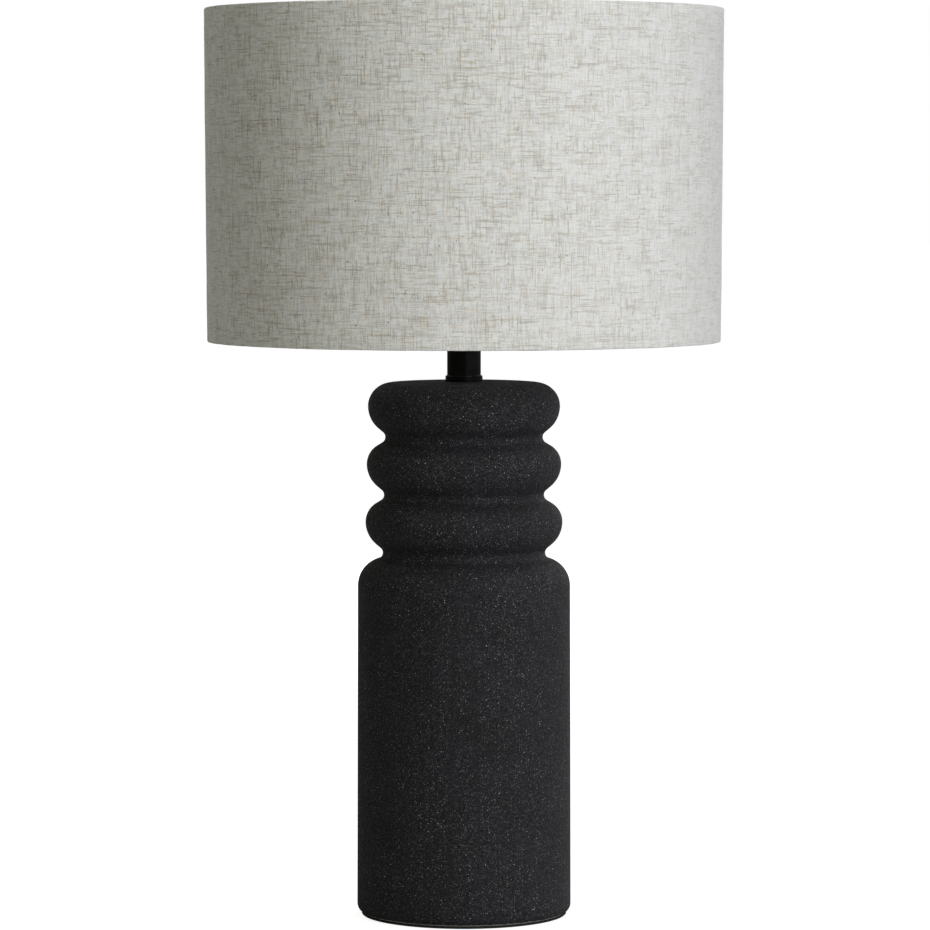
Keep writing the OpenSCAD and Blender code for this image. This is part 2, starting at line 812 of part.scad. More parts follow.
module cap_set_screw() {
    head_y = thread_r + 2.2;
    head_h = 1.6;
    color(steel) {
        along_y(set_screw_r, thread_r, cap_z + hub_drop / 2, head_y - thread_r + 0.2);
        along_y(set_screw_r + 0.7, head_y, cap_z + hub_drop / 2, head_h);
    }
}

// The U-shaped slot at the front that straddles the switch shaft
module shaft_notch() {
    translate([-notch_w / 2, -cap_d, shell_z - over])
    cube([notch_w, cap_d, notch_top_z - shell_z + over]);
}

module socket_shell() {
    bead_c = [shell_r - 0.3, notch_top_z + 3];
    lip_r = 0.9;
    color(brass)
    difference() {
        lathe(join([
            [[shell_r - sheet_t, shell_z], [shell_r, shell_z]],
            arc(bead_c, 1.2, -75.5, 75.5),
            [[shell_r, shell_top_z - lip_r]],
            arc([shell_r - lip_r, shell_top_z - lip_r], lip_r, 0, 90),
            [[shell_r - sheet_t - 1, shell_top_z], [shell_r - sheet_t - 1, shell_top_z - sheet_t]],
            [[shell_r - sheet_t, shell_top_z - sheet_t]]
        ]));
        shaft_notch();
    }
}

module socket_sleeve() {
    color([0.75, 0.66, 0.5])
    difference() {
        ring(
            sleeve_r, sleeve_r - sleeve_t,
            shell_z + 0.5, shell_top_z - shell_z - sheet_t - 1
        );
        shaft_notch();
    }
}

module switch_block() {
    flat_h = block_h * 0.6;
    color(phenolic)
    difference() {
        translate([0, 0, block_z]) cylinder(r = block_r, h = block_h);
        for (side = [-1, 1]) {
            translate([side * (terminal_flat + block_r) - block_r, -block_r, block_z - over])
            cube([2 * block_r, 2 * block_r, flat_h + over]);
            translate([side * terminal_flat, 0, terminal_z])
            rotate([0, 90, 0])
            cylinder(r = terminal_screw_r + running_fit, h = 11, center = true);
        }
        along_y(
            shaft_d / 2 + running_fit, -block_r - over, shaft_z, shaft_depth + over
        );
    }
}

module screw_shell() {
    flare = 0.5;
    top_z = shell_top_z - 2.5;
    bore_r = screw_shell_r - screw_shell_t;
    color(brass)
    lathe([
        [screw_shell_hole_r, block_top_z], [screw_shell_r, block_top_z],
        [screw_shell_r, top_z - 1], [screw_shell_r + flare, top_z],
        [bore_r + flare, top_z], [bore_r, top_z - 1],
        [bore_r, block_top_z + screw_shell_t], [screw_shell_hole_r, block_top_z + screw_shell_t]
    ]);
}

// A springy tongue under the bulb's contact, riveted at one end
module centre_contact() {
    tongue_l = 8;
    tongue_angle = asin((contact_rise - contact_t) / tongue_l);
    color(brass)
    rotate([0, 0, 90]) {
        translate([-4, 0, block_top_z]) cylinder(r = 2.2, h = 1);
        translate([-5, -2, block_top_z])
        rotate([0, -tongue_angle, 0])
        cube([tongue_l, 4, contact_t]);
    }
}

module terminal_screws() {
    color(brass)
    for (side = [-1, 1])
        translate([side * terminal_flat, 0, terminal_z])
        rotate([0, side * 90, 0]) {
            cylinder(r = 3.4, h = 1.8);
            translate([0, 0, -5]) cylinder(r = terminal_screw_r, h = 6);
        }
}

module switch_shaft() {
    inner_y = -block_r + shaft_depth - 0.3;
    outer_y = -knob_start - knob_len + 4;
    color(steel) along_y(shaft_d / 2, outer_y, shaft_z, inner_y - outer_y);
}

// A flat paddle on a round hub
module turn_knob() {
    end_y = -knob_start - knob_len;
    color(phenolic)
    difference() {
        union() {
            along_y(knob_hub_r, end_y + 6, shaft_z, knob_len - 6);
            translate([0, end_y + (knob_len - 4) / 2, shaft_z - knob_t / 2])
            linear_extrude(knob_t)
            polygon(round_rect(knob_w, knob_len - 4, 3));
        }
        along_y(
            shaft_d / 2 + running_fit, end_y + 4 - running_fit, shaft_z, knob_len
        );
    }
}

// ---- Bulb ----

module bulb_globe() {
    color([0.95, 0.95, 0.93])
    lathe(join([
        arc([0, bulb_centre_z], bulb_r, waist_angle, 90),
        arc([0, bulb_centre_z], bulb_r - bulb_wall, 90, waist_angle)
    ]));
}

module bulb_housing() {
    top = 180 + waist_angle;
    color("white")
    lathe(join([
        [[neck_r - bulb_wall, neck_base_z], [neck_r, neck_base_z]],
        arc(waist_c, waist_r, 180, top),
        arc(waist_c, waist_r + bulb_wall, top, 180)
    ]));
}

// A disc that rests in the taper of the housing
module bulb_board() {
    board_t = 1.6;
    board_z = seam_z - board_t - 1;
    inner_r = waist_r + bulb_wall;
    board_r = waist_c[0] - sqrt(inner_r * inner_r - pow(board_z - neck_base_z, 2));
    color(steel)
    translate([0, 0, board_z]) cylinder(r = board_r - 0.02, h = board_t);
}

module bulb_cap() {
    cap_r = bulb_cap_d / 2;
    wall = 0.5;
    color(steel)
    translate([0, 0, bulb_z])
    lathe([
        [insulator_r, insulator_h], [insulator_r + 1.5, insulator_h],
        [cap_r, insulator_h + 2], [cap_r, bulb_cap_l],
        [cap_r - wall, bulb_cap_l], [cap_r - wall, insulator_h + 2.2],
        [insulator_r + 1.3, insulator_h + wall], [insulator_r, insulator_h + wall]
    ]);
}

module bulb_insulator() {
    color(phenolic)
    translate([0, 0, bulb_z])
    lathe([
        [0, contact_h], [5, contact_h], [insulator_r, insulator_h],
        [insulator_r, insulator_h + 1.2], [0, insulator_h + 1.2]
    ]);
}

module bulb_contact() {
    color(brass)
    translate([0, 0, bulb_z])
    lathe([[0, 0], [2.6, 0], [4.2, contact_h / 2], [4.6, contact_h], [0, contact_h]]);
}

ceramic_base();
base_pad();
cord_bushing();
bottom_washer();
bottom_nut();
threaded_rod();
neck_collar();
neck_tube();
neck_seat_ring();
harp_saddle();
saddle_nut();
socket_cap();
cap_set_screw();
socket_shell();
socket_sleeve();
switch_block();
screw_shell();
centre_contact();
terminal_screws();
switch_shaft();
turn_knob();
harp();
ferrule_left();
ferrule_right();
harp_stud();
finial();
shade_spider();
shade_bottom_ring();
shade_lining();
shade_cloth();
bulb_globe();
bulb_housing();
bulb_board();
bulb_cap();
bulb_insulator();
bulb_contact();
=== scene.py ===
"""Table lamp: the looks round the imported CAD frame. Metres, +Z up, front towards -Y."""

import math

import bmesh
import bpy
from mathutils import Euler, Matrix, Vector, noise


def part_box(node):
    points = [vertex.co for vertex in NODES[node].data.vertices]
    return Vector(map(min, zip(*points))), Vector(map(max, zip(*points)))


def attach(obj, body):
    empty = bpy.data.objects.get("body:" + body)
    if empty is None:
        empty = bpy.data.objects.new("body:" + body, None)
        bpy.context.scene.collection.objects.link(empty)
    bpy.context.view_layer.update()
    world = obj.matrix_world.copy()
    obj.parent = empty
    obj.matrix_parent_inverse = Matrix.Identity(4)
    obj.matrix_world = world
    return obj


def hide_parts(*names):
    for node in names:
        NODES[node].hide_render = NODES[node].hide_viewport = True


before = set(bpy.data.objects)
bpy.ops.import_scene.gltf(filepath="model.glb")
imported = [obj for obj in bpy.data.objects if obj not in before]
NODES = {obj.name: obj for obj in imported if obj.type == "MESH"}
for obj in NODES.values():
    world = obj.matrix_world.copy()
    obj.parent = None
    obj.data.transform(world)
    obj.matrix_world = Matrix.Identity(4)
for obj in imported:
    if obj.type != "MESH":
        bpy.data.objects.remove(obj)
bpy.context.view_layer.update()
MM = 0.001
TAU = 2 * math.pi
EDISON_PITCH = 3.63 * MM


# ---------------------------------------------------------------- measures

def reach(node, low=-1.0, high=9.0, inner=False):
    """Greatest (or smallest) distance from the lamp's axis of a node's points between two heights."""
    found = [math.hypot(v.co.x, v.co.y) for v in NODES[node].data.vertices if low <= v.co.z <= high]
    return min(found) if inner else max(found)


shade_low, shade_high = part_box("shade_cloth")
SHADE_Z, SHADE_TOP = shade_low.z, shade_high.z
SHADE_R = reach("shade_cloth", SHADE_TOP - 3 * MM)
SHADE_R_LOW = reach("shade_cloth", high=SHADE_Z + 3 * MM)
FOLD_W = SHADE_R - reach("shade_cloth", SHADE_TOP - 4 * MM, inner=True)
HEM = 8 * MM
CLOTH_T = 0.8 * MM
SEAM_LAP = 6 * MM
LAYER = CLOTH_T + 0.05 * MM
HEM_STEPS, FOLD_STEPS, CORNER_STEPS = 5, 6, 5


# ---------------------------------------------------------------- mesh tools

def add_mesh(name, *parts, sharp=None, flat=None):
    """One piece from parts of (verts, faces). Points that lie together are joined, and edges bent
    by more than sharp degrees stay crisp. flat gives each point's place on the flat material."""
    mesh = bpy.data.meshes.new(name)
    build = bmesh.new()
    layer = build.loops.layers.uv.new("flat") if flat else None
    for verts, faces in parts:
        points = [build.verts.new(v) for v in verts]
        for face in faces:
            made = build.faces.new([points[i] for i in face])
            if flat:
                for loop, i in zip(made.loops, face):
                    loop[layer].uv = flat[i]
        bmesh.ops.remove_doubles(build, verts=points, dist=0.002 * MM)
    bmesh.ops.recalc_face_normals(build, faces=build.faces)
    for face in build.faces:
        face.smooth = True
    for edge in build.edges:
        if sharp is not None and len(edge.link_faces) == 2:
            edge.smooth = edge.calc_face_angle(0) < math.radians(sharp)
    build.to_mesh(mesh)
    build.free()
    piece = bpy.data.objects.new(name, mesh)
    bpy.context.scene.collection.objects.link(piece)
    return piece


def sweep(size, point, closed_rows=False, closed_around=True, caps=False):
    """Verts and faces of a grid of size (rows, columns), where point(row, column) gives each point."""
    rows, columns = size
    verts = [point(r, c) for r in range(rows) for c in range(columns)]
    faces = []
    for r in range(rows if closed_rows else rows - 1):
        for c in range(columns if closed_around else columns - 1):
            r2, c2 = (r + 1) % rows, (c + 1) % columns
            faces.append((r * columns + c, r * columns + c2, r2 * columns + c2, r2 * columns + c))
    if caps:
        faces += [tuple(range(columns))[::-1], tuple((rows - 1) * columns + c for c in range(columns))]
    return verts, faces


def arc(centre, radius, start, end, n):
    """The n + 1 points of an arc in n steps, angles in degrees."""
    turns = [math.radians(start + (end - start) * i / n) for i in range(n + 1)]
    return [(centre[0] + radius * math.cos(turn), centre[1] + radius * math.sin(turn)) for turn in turns]


def finish_piece(piece, body, material, slot, *stands_for):
    """Gives a piece its material, hangs it from its body's empty and hides the CAD nodes that it replaces.
    slot is not used.
    """
    piece.data.materials.clear()
    piece.data.materials.append(material)
    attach(piece, body)
    if stands_for:
        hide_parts(*stands_for)
    return piece


# ---------------------------------------------------------------- material tools

class Nodes:
    """Short ways to put nodes in a tree."""

    def __init__(self, owner, coordinates):
        owner.use_nodes = True
        self.tree = owner.node_tree
        self.tree.nodes.clear()
        self.place = self.add("ShaderNodeTexCoord").outputs[coordinates]
        self.x, self.y, self.z = self.split(self.place)

    def add(self, kind, **settings):
        node = self.tree.nodes.new(kind)
        for key, value in settings.items():
            setattr(node, key, value)
        return node

    def put(self, socket, value):
        """Links or sets a socket."""
        if isinstance(value, bpy.types.NodeSocket):
            self.tree.links.new(value, socket)
        elif isinstance(value, (tuple, list)) and len(value) == 3 and socket.type == "RGBA":
            socket.default_value = (*value, 1)
        else:
            socket.default_value = value

    def calc(self, operation, *values, clamp=False):
        node = self.add("ShaderNodeMath", operation=operation, use_clamp=clamp)
        for socket, value in zip(node.inputs, values):
            self.put(socket, value)
        return node.outputs[0]

    def step(self, value, low, high, to_low=0.0, to_high=1.0):
        """value eased from low..high to to_low..to_high."""
        node = self.add("ShaderNodeMapRange", interpolation_type="SMOOTHSTEP")
        for socket, number in zip(node.inputs, (value, low, high, to_low, to_high)):
            self.put(socket, number)
        return node.outputs[0]

    def split(self, vector):
        node = self.add("ShaderNodeSeparateXYZ")
        self.put(node.inputs[0], vector)
        return node.outputs

    def vector(self, x, y, z):
        node = self.add("ShaderNodeCombineXYZ")
        for socket, value in zip(node.inputs, (x, y, z)):
            self.put(socket, value)
        return node.outputs[0]

    def noise(self, scale, detail=2.0, roughness=0.5, at=None):
        node = self.add("ShaderNodeTexNoise")
        self.put(node.inputs["Vector"], self.place if at is None else at)
        self.put(node.inputs["Scale"], scale)
        self.put(node.inputs["Detail"], detail)
        self.put(node.inputs["Roughness"], roughness)
        return node.outputs[0]

    def cells(self, scale, at=None, dimensions="3D"):
        """Distance to the nearest scattered point, and two random numbers of that point's own."""
        node = self.add("ShaderNodeTexVoronoi", voronoi_dimensions=dimensions)
        self.put(node.inputs["Vector"], self.place if at is None else at)
        self.put(node.inputs["Scale"], scale)
        split = self.add("ShaderNodeSeparateColor")
        self.put(split.inputs[0], node.outputs["Color"])
        return node.outputs["Distance"], split.outputs[0], split.outputs[1]

    def mix(self, share, a, b):
        """Colour a, with share of colour b in it."""
        node = self.add("ShaderNodeMix", data_type="RGBA")
        self.put(node.inputs[0], share)
        self.put(node.inputs[6], a)
        self.put(node.inputs[7], b)
        return node.outputs[2]

    def turn(self):
        """The angle round the lamp's axis: 0 at the front, positive towards +X."""
        return self.calc("ARCTAN2", self.x, self.calc("MULTIPLY", self.y, -1.0))


class Look(Nodes):
    """A node material with one Principled shader."""

    def __init__(self, name, **sockets):
        self.material = bpy.data.materials.new(name)
        super().__init__(self.material, "Object")
        self.shader = self.add("ShaderNodeBsdfPrincipled")
        self.out = self.add("ShaderNodeOutputMaterial")
        self.put(self.out.inputs["Surface"], self.shader.outputs[0])
        self.set(**sockets)

    def set(self, **sockets):
        for name, value in sockets.items():
            self.put(self.shader.inputs[name.replace("_", " ")], value)

    def bump(self, height, distance, strength=1.0):
        node = self.add("ShaderNodeBump")
        self.put(node.inputs["Strength"], strength)
        self.put(node.inputs["Distance"], distance)
        self.put(node.inputs["Height"], height)
        self.put(self.shader.inputs["Normal"], node.outputs[0])


def speckled_ceramic():
    """Matt charcoal glaze with sand in it: pale grains of four sizes, and bare clay at the foot's edge."""
    look = Look("speckled_ceramic", Specular_IOR_Level=0.36)
    dark, light = (0.0157, 0.0160, 0.0178), (0.0202, 0.0205, 0.0242)
    ground = look.mix(look.step(look.noise(38, 3), 0.35, 0.65), dark, light)
    pores = look.step(look.noise(1050, 2, 0.6), 0.42, 0.58, 0.92, 0.0)
    ground = look.mix(pores, ground, (0.004, 0.004, 0.004))
    drift = look.step(look.noise(22, 2), 0.36, 0.62, 0.75, 1.0)
    bright = None
    # points a metre, the grains' size as a share of their spacing, and how pale they are
    grains = ((460, 0.145, 0.86), (680, 0.18, 0.60), (950, 0.22, 0.42), (1350, 0.28, 0.24))
    for scale, size, gain in grains:
        distance, tone, width = look.cells(scale)
        edge = look.calc("MULTIPLY", look.step(width, 0, 1, 0.5, 1.0), size)
        inside = look.step(look.calc("SUBTRACT", edge, distance), 0.0, 0.05)
        grain = look.calc("MULTIPLY", inside, look.calc("MULTIPLY", look.calc("POWER", tone, 1.6), gain))
        bright = grain if bright is None else look.calc("MAXIMUM", bright, grain)
    colour = look.mix(look.calc("MULTIPLY", bright, drift), ground, (0.92, 0.92, 0.90))
    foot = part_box("ceramic_base")[0].z
    waver = look.step(look.noise(300, 2), 0.3, 0.7, -0.2 * MM, 0.2 * MM)
    over_foot = look.calc("ADD", look.calc("SUBTRACT", look.z, foot), waver)
    clay = look.mix(look.step(look.noise(900, 3), 0.35, 0.65), (0.31, 0.298, 0.27), (0.47, 0.452, 0.415))
    colour = look.mix(look.step(over_foot, 1.1 * MM, 1.6 * MM, 1.0, 0.0), colour, clay)
    rough = look.step(look.noise(600, 2), 0.3, 0.7, 0.72, 0.90)
    look.set(Base_Color=colour, Roughness=rough)
    sand = look.calc("ADD", look.noise(1500, 3, 0.7), look.calc("MULTIPLY", look.noise(380, 2), 0.6))
    look.bump(sand, 0.22 * MM, 0.8)
    return look.material


def linen():
    """Oatmeal linen in plain weave: uneven yarns, brown slubs along both ways, and a few dark flecks.
    It is laid out on the flat cloth, so that it follows the hems and the seam."""
    look = Look("oatmeal_linen", Roughness=0.92, Specular_IOR_Level=0.15, Sheen_Weight=0.40,
                Sheen_Roughness=0.5)
    cloth = look.add("ShaderNodeUVMap", uv_map="flat").outputs[0]
    across, up, _ = look.split(cloth)
    pitch, slub_pitch, most_sway = 0.68 * MM, 0.60 * MM, 1.1 * MM

    def sway(value, seed):
        """No yarn runs quite straight."""
        drift = look.noise(150, 2, 0.5, at=look.vector(across, up, seed))
        return look.calc("ADD", value, look.calc("MULTIPLY", look.calc("SUBTRACT", drift, 0.5), most_sway))

    warp_at, weft_at = sway(across, 0.3), sway(up, 0.9)

    def number(side, spacing):
        """Which yarn it is, counted along side."""
        return look.calc("FLOOR", look.calc("DIVIDE", side, spacing))

    def yarns(side, along, spacing, seed, length, detail):
        """A yarn's tone at a place: it changes from yarn to yarn and slowly along each one."""
        row = look.calc("ADD", look.calc("MULTIPLY", number(side, spacing), 3.137), seed)
        return look.noise(1.0, detail, 0.6, at=look.vector(row, look.calc("DIVIDE", along, length), seed))

    fine = look.calc("ADD", yarns(warp_at, up, pitch, 0.41, 11 * MM, 2),
                     yarns(weft_at, across, pitch, 7.73, 12 * MM, 2))
    cloud = look.step(look.noise(48, 3, 0.7, at=cloth), 0.36, 0.54)
    colour = look.mix(cloud, (0.730, 0.738, 0.698), (0.775, 0.786, 0.752))
    tint = look.noise(190, 2, 0.6, at=look.vector(across, up, 0.6))
    colour = look.mix(look.step(tint, 0.50, 0.68, 0.0, 0.5), colour, (0.73, 0.680, 0.56))
    colour = look.mix(look.step(tint, 0.50, 0.34, 0.0, 0.4), colour, (0.73, 0.775, 0.78))
    colour = look.mix(look.step(fine, 0.82, 1.08, 0.38, 0.0), colour, (0.34, 0.328, 0.28))
    crossing = look.add("ShaderNodeTexWhiteNoise", noise_dimensions="3D")
    look.put(crossing.inputs[0], look.vector(number(warp_at, pitch), number(weft_at, pitch), 0.0))
    colour = look.mix(look.step(crossing.outputs[0], 0.0, 0.6, 0.16, 0.0), colour, (0.34, 0.330, 0.275))
    patch = look.step(look.noise(60, 3, 0.6, at=look.vector(across, up, 0.2)), 0.36, 0.60, 0.42, 1.0)
    slubs = None
    slub_sets = ((warp_at, up, 3.19, 14 * MM), (weft_at, across, 11.57, 16 * MM),
                 (warp_at, up, 23.3, 32 * MM), (weft_at, across, 31.9, 38 * MM))
    for side, along, seed, length in slub_sets:
        share = look.step(yarns(side, along, slub_pitch, seed, length, 2.5), 0.58, 0.65)
        slubs = share if slubs is None else look.calc("ADD", slubs, share)
    slubs = look.calc("MULTIPLY", look.calc("MINIMUM", slubs, 1.5), patch)
    brown = look.mix(look.step(look.noise(140, 2), 0.4, 0.6), (0.365, 0.280, 0.140), (0.265, 0.236, 0.160))
    colour = look.mix(look.calc("MULTIPLY", slubs, 0.50, clamp=True), colour, brown)
    tall = look.vector(across, look.calc("MULTIPLY", up, 0.7), 0.0)
    distance, tone, _ = look.cells(175, at=tall, dimensions="2D")
    frayed = look.step(look.noise(1300, 2, 0.6, at=cloth), 0.35, 0.65, -0.035, 0.075)
    distance = look.calc("ADD", distance, frayed)
    fleck = look.calc("MULTIPLY", look.step(distance, 0.05, 0.13, 1.0, 0.0), look.step(tone, 0.84, 0.96))
    colour = look.mix(look.calc("MULTIPLY", fleck, 0.8), colour, (0.085, 0.062, 0.040))

    # each yarn rises over one crossing yarn and dips under the next
    def rise(side, other):
        """How high the yarns that lie side by side along side stand, 0 in the gaps between them."""
        round_top = look.calc("ABSOLUTE", look.calc("SINE", look.calc("MULTIPLY", side, math.pi / pitch)))
        place = look.calc("ADD", look.calc("DIVIDE", other, pitch), number(side, pitch))
        wave = look.calc("SINE", look.calc("MULTIPLY", place, math.pi))
        return look.calc("MULTIPLY", round_top, look.calc("ADD", 1.0, look.calc("MULTIPLY", wave, 0.35)))

    weave = look.calc("MAXIMUM", rise(warp_at, weft_at), rise(weft_at, look.calc("ADD", warp_at, pitch)))
    # painted shade: the cloth is darker where the yarns sink, in the gaps between them and down their rounded
    # sides
    colour = look.mix(look.step(weave, 0.25, 1.05, 0.30, 0.0), colour, (0.42, 0.41, 0.37))
    # painted light: towards the right side, where the lamps fall full on the cloth, the yarns are toned
    # flatter and a little darker, while the left keeps the stronger contrast of grazing light
    side = look.calc("SINE", look.calc("DIVIDE", across, SHADE_R))
    colour = look.mix(look.step(side, -0.8, 0.8, 0.0, 0.4), colour, (0.585, 0.592, 0.552))
    look.set(Base_Color=colour)
    height = look.calc("ADD", look.calc("ADD", weave, fine), look.calc("MULTIPLY", slubs, 1.5))
    look.bump(height, 0.11 * MM, 0.9)
    return look.material


def plastic(name, colour, roughness, spread=0.05, grain=900, depth=0.03, specular=0.4):
    """Moulded plastic or paint: a faint cloud in the colour, and a fine grain in its gloss and surface.
    spread is the cloud's depth, grain the grains a metre and depth their height in mm."""
    look = Look(name, Specular_IOR_Level=specular)
    darker = tuple(c * (1 - 2 * spread) for c in colour)
    look.set(Base_Color=look.mix(look.step(look.noise(60, 3), 0.3, 0.7), darker, colour),
             Roughness=look.step(look.noise(grain * 0.5, 2), 0.3, 0.7, roughness * 0.85, roughness * 1.15))
    look.bump(look.noise(grain, 2), depth * MM)
    return look.material


def metal(name, colour, roughness, tarnish=0.25):
    """Plated or drawn metal: fine marks round the axis, and slightly duller patches."""
    look = Look(name, Metallic=1.0)
    patch = look.step(look.noise(90, 4, 0.6), 0.42, 0.75)
    dull = tuple(c * 0.55 for c in colour)
    scales = ((look.x, 60), (look.y, 60), (look.z, 2600))
    stretched = [look.calc("MULTIPLY", side, scale) for side, scale in scales]
    marks = look.noise(1.0, 3, 0.6, at=look.vector(*stretched))
    look.set(Base_Color=look.mix(look.calc("MULTIPLY", patch, tarnish), colour, dull),
             Roughness=look.calc("ADD", look.step(marks, 0.3, 0.7, roughness * 0.7, roughness * 1.3),
                                 look.calc("MULTIPLY", patch, 0.08)))
    look.bump(marks, 0.02 * MM, 0.5)
    return look.material


CERAMIC = speckled_ceramic()
LINEN = linen()
RUBBER = plastic("pad_rubber", (0.020, 0.020, 0.020), 0.75, grain=1400, depth=0.08, specular=0.15)
BLACK_PAINT = plastic("gloss_black_paint", (0.0012, 0.0012, 0.0013), 0.16, grain=260, depth=0.012,
                      specular=0.26)
NYLON = plastic("bushing_plastic", (0.014, 0.014, 0.015), 0.45, specular=0.25)
PHENOLIC = plastic("phenolic", (0.010, 0.009, 0.009), 0.22, depth=0.01, specular=0.4)
WHITE_WIRE = plastic("white_wire", (0.80, 0.80, 0.78), 0.38, grain=500, depth=0.03)
LINING = plastic("white_lining", (0.80, 0.80, 0.77), 0.55, spread=0.02, grain=350, depth=0.03, specular=0.3)
DIFFUSER = plastic("bulb_diffuser", (0.86, 0.86, 0.84), 0.40, spread=0.004, grain=4000, depth=0.001)
BULB_WHITE = plastic("bulb_plastic", (0.80, 0.80, 0.79), 0.34, spread=0.006, grain=3000, depth=0.002)
INSULATOR = plastic("bulb_insulator", (0.010, 0.010, 0.012), 0.15, depth=0.005)
CARD = plastic("fibre_card", (0.42, 0.33, 0.22), 0.8, spread=0.12, grain=700, depth=0.06, specular=0.2)
ZINC = metal("zinc_steel", (0.62, 0.62, 0.60), 0.34, tarnish=0.4)
NICKEL = metal("nickel_plate", (0.68, 0.65, 0.60), 0.22)
BRASS = metal("socket_brass", (0.78, 0.60, 0.33), 0.28, tarnish=0.35)
CONTACT = metal("contact_brass", (0.74, 0.58, 0.34), 0.35, tarnish=0.4)
BULB_NICKEL = metal("bulb_nickel", (0.70, 0.68, 0.64), 0.25)
ALUMINIUM = metal("board_aluminium", (0.76, 0.76, 0.76), 0.4)

LOOKS = {
    CERAMIC: ["ceramic_base"],
    RUBBER: ["base_pad"],
    NYLON: ["cord_bushing"],
    ZINC: ["bottom_washer", "bottom_nut", "threaded_rod", "saddle_nut", "cap_set_screw", "switch_shaft"],
    BLACK_PAINT: ["neck_collar", "neck_tube", "neck_seat_ring", "finial"],
    NICKEL: ["harp_saddle", "harp", "ferrule_left", "ferrule_right", "harp_stud"],
    BRASS: ["socket_cap", "socket_shell"],
    CARD: ["socket_sleeve"],
    PHENOLIC: ["switch_block", "turn_knob"],
    CONTACT: ["screw_shell", "centre_contact", "terminal_screws", "bulb_contact"],
    WHITE_WIRE: ["shade_spider", "shade_bottom_ring"],
    LINING: ["shade_lining"],
    DIFFUSER: ["bulb_globe"],
    BULB_WHITE: ["bulb_housing"],
    ALUMINIUM: ["bulb_board"],
    BULB_NICKEL: ["bulb_cap"],
    INSULATOR: ["bulb_insulator"],
    LINEN: ["shade_cloth"],
}
for material, names in LOOKS.items():
    for name in names:
        if not NODES[name].material_slots:
            NODES[name].data.materials.append(material)
        for slot in NODES[name].material_slots:
            slot.material = material


def soften(name, width, segments=2):
    """Rounds a CAD piece's crisp edges a little."""
    edge = NODES[name].modifiers.new("edges", "BEVEL")
    edge.width, edge.segments = width, segments
    edge.limit_method, edge.angle_limit = "ANGLE", math.radians(35)
    edge.harden_normals = True


soften("turn_knob", 0.7 * MM, 3)
for name in ("saddle_nut", "bottom_nut", "bottom_washer", "harp_saddle"):
    soften(name, 0.2 * MM)


# ---------------------------------------------------------------- the shade's cloth

def cloth_path():
    """The cloth's middle layer, from the top hem's edge over the top, down the outside and round the bottom:
    a list of (radius, height, radius normal, height normal), the normal pointing out of the fold."""
    half = CLOTH_T / 2
    corner, fold = 1.0 * MM, 1.6 * MM
    top, low = (SHADE_R, SHADE_TOP), (SHADE_R_LOW, SHADE_Z)
    points = [(top[0] - FOLD_W + half, top[1] - HEM + i * (HEM - fold) / HEM_STEPS) for i in range(HEM_STEPS)]
    points += arc((top[0] - FOLD_W + fold, top[1] - fold), fold - half, 180, 90, FOLD_STEPS)
    points += arc((top[0] - corner, top[1] - corner), corner - half, 90, 0, CORNER_STEPS)
    start, end = points[-1], (low[0] - half, low[1] + corner)
    rows = 56
    points += [(start[0] + (end[0] - start[0]) * i / rows, start[1] + (end[1] - start[1]) * i / rows)
               for i in range(1, rows)]
    points += arc((low[0] - corner, low[1] + corner), corner - half, 0, -90, CORNER_STEPS)
    points += arc((low[0] - FOLD_W + fold, low[1] + fold), fold - half, 270, 180, FOLD_STEPS)
    points += [(low[0] - FOLD_W + half, low[1] + fold + i * (HEM - fold) / HEM_STEPS)
               for i in range(1, HEM_STEPS + 1)]
    path = []
    for i, (r, z) in enumerate(points):
        a, b = points[max(0, i - 1)], points[min(len(points) - 1, i + 1)]
        along = Vector((b[0] - a[0], b[1] - a[1])).normalized()
        path.append((r, z, -along.y, along.x))
    return path


def seam_section():
    """The cloth's way round the lamp from the back seam: a list of (distance, lift off the first layer).
    The end climbs over the first edge, and its own edge is folded under."""
    round_it = TAU * SHADE_R
    columns = 300
    steps = [(round_it * i / columns, 0.0) for i in range(columns - 3)]
    first = steps[-1][0]
    ramp, ramp_length, past_edge = round_it - 4 * MM, 4.5 * MM, 0.5 * MM
    climb = [(first + (ramp - first) * t, 0.0) for t in (0.5, 1.0)]
    climb += [(ramp + ramp_length * t, 2 * LAYER * (t * t * (3 - 2 * t))) for t in (0.2, 0.4, 0.6, 0.8, 1.0)]
    flat = [(round_it + past_edge + (SEAM_LAP - past_edge) * t, 2 * LAYER) for t in (0.25, 0.5, 0.75, 1.0)]
    turn = [(round_it + SEAM_LAP + LAYER / 2 * math.sin(a), 1.5 * LAYER + LAYER / 2 * math.cos(a))
            for a in map(math.radians, (30, 60, 90, 120, 150, 180))]
    back = [(round_it + SEAM_LAP - (SEAM_LAP - 1.2 * MM) * t, LAYER) for t in (0.33, 0.66, 1.0)]
    return steps + climb + flat + turn + back


def running(start, points):
    """The length of a line of points up to each of them, counted from start."""
    lengths = [start]
    for a, b in zip(points, points[1:]):
        lengths.append(lengths[-1] + math.hypot(b[0] - a[0], b[1] - a[1]))
    return lengths


